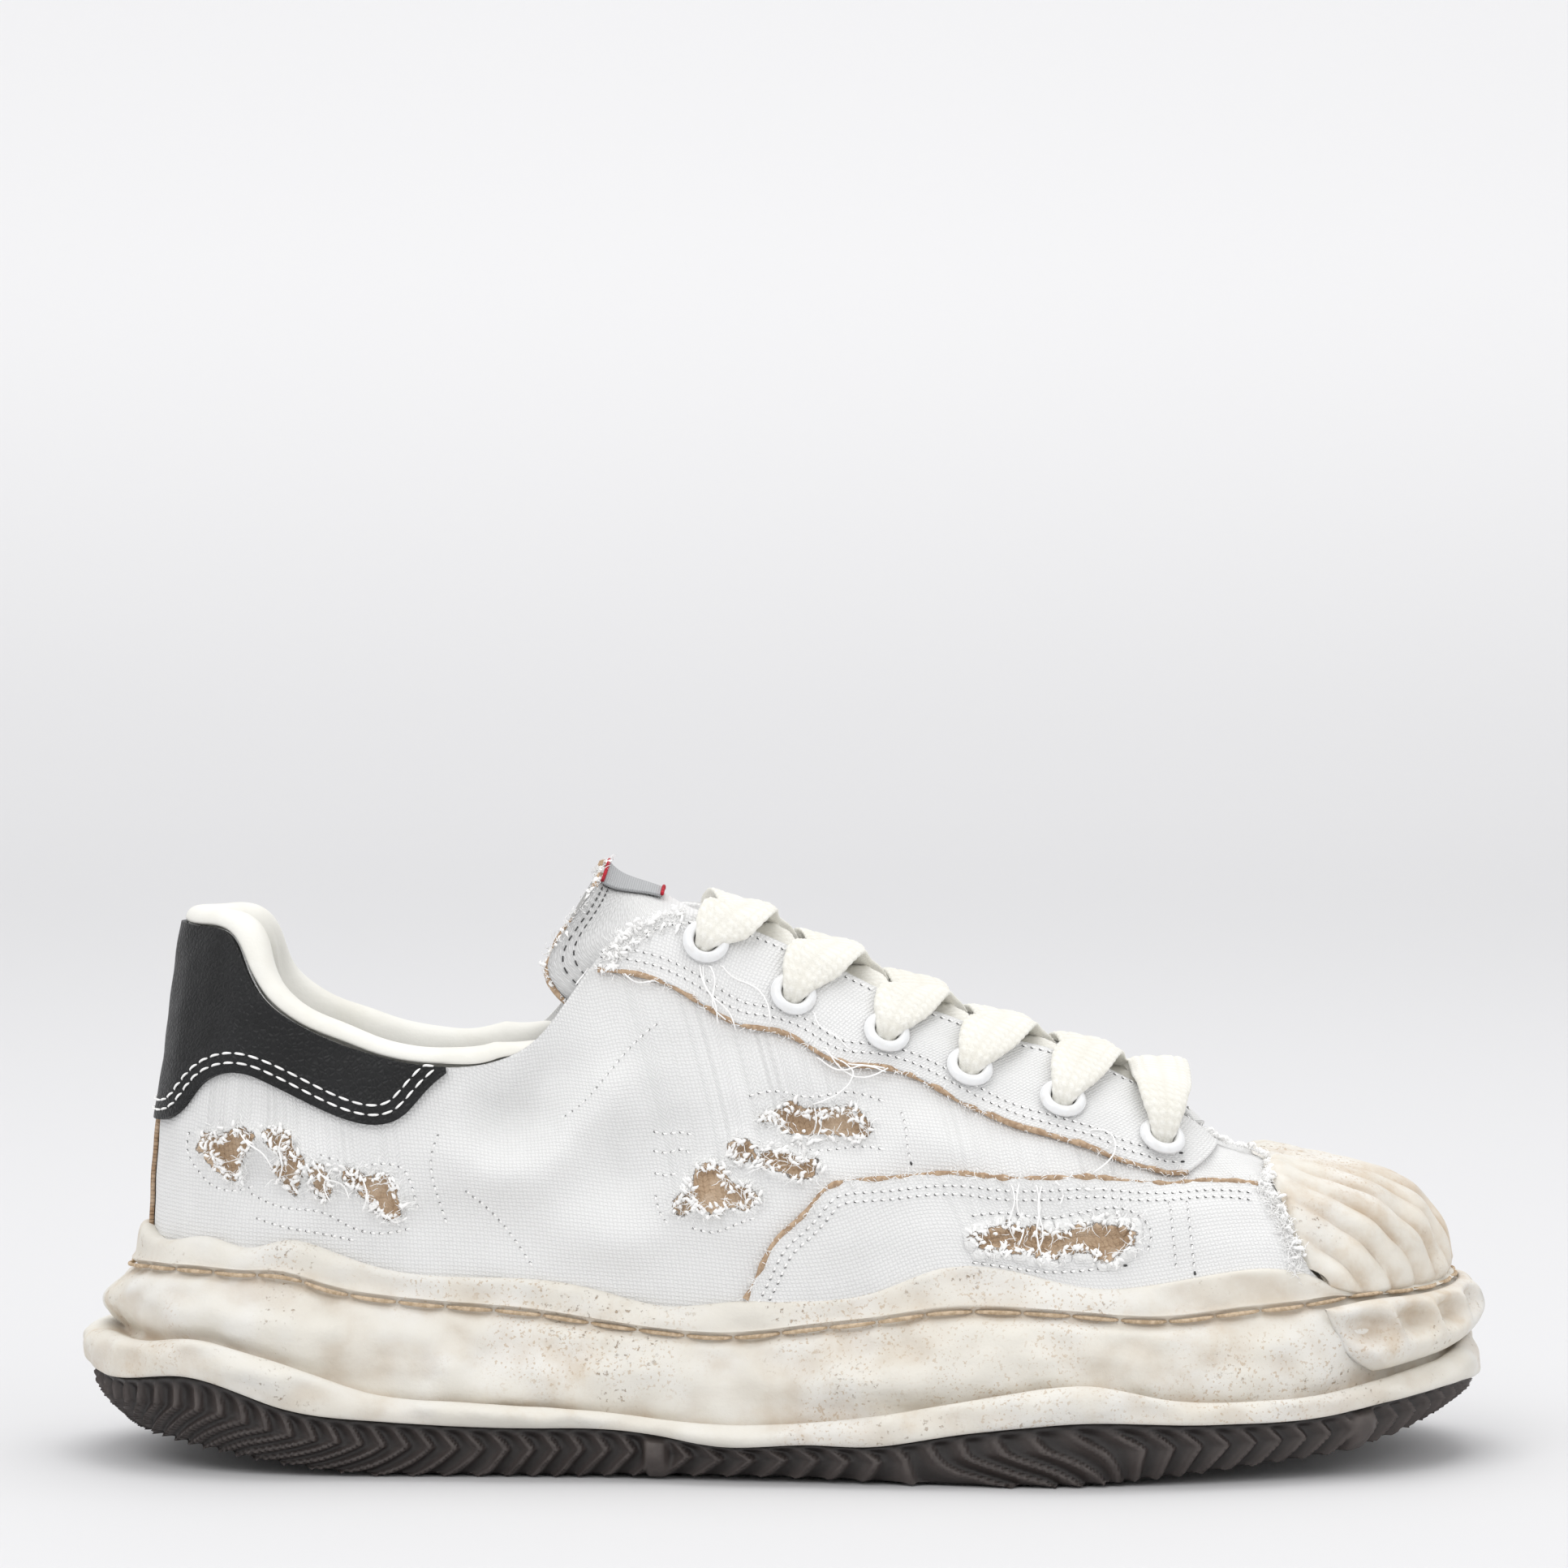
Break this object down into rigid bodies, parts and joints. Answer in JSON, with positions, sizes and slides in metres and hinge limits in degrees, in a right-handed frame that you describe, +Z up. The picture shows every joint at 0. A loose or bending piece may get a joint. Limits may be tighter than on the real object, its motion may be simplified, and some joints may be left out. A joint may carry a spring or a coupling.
{
  "type": "worn out sneaker",
  "caption": "Low canvas sneaker for the right foot with a thick wavy rubber sole, ribbed toe cap and fat flat laces, worn and torn.",
  "frame": {"origin": "on the floor under the middle of the sole's length and width", "axes": "+X toward the toe, +Y toward the inner side of the foot, +Z up"},
  "size_m": [0.3106, 0.1198, 0.1308],
  "materials": {
    "canvas": "matte",
    "lining": "matte",
    "black leather": "satin",
    "raw canvas": "matte",
    "cream rubber": "matte",
    "beige rubber": "matte",
    "dark rubber": "satin",
    "white enamel": "gloss",
    "lace cotton": "matte",
    "label cloth": "matte"
  },
  "bodies": {
    "root": {"outsole": "dark rubber", "midsole": "cream rubber", "insole": "lining", "upper": "canvas", "collar_lining": "lining", "heel_counter": "black leather", "heel_strip": "raw canvas", "eyestay_outer": "canvas", "eyestay_inner": "canvas", "mudguard_outer": "canvas", "mudguard_inner": "canvas", "toe_cap": "beige rubber", "toe_bumper": "beige rubber", "tongue": "canvas", "tongue_label": "label cloth", "lace_bar": "lace cotton", "lace_cross_1": "lace cotton", "lace_cross_2": "lace cotton", "lace_cross_3": "lace cotton", "lace_cross_4": "lace cotton", "lace_cross_5": "lace cotton", "eyelet_outer_1": "white enamel", "eyelet_outer_2": "white enamel", "eyelet_outer_3": "white enamel", "eyelet_outer_4": "white enamel", "eyelet_outer_5": "white enamel", "eyelet_outer_6": "white enamel", "eyelet_inner_1": "white enamel", "eyelet_inner_2": "white enamel", "eyelet_inner_3": "white enamel", "eyelet_inner_4": "white enamel", "eyelet_inner_5": "white enamel", "eyelet_inner_6": "white enamel"}
  },
  "joints": []
}
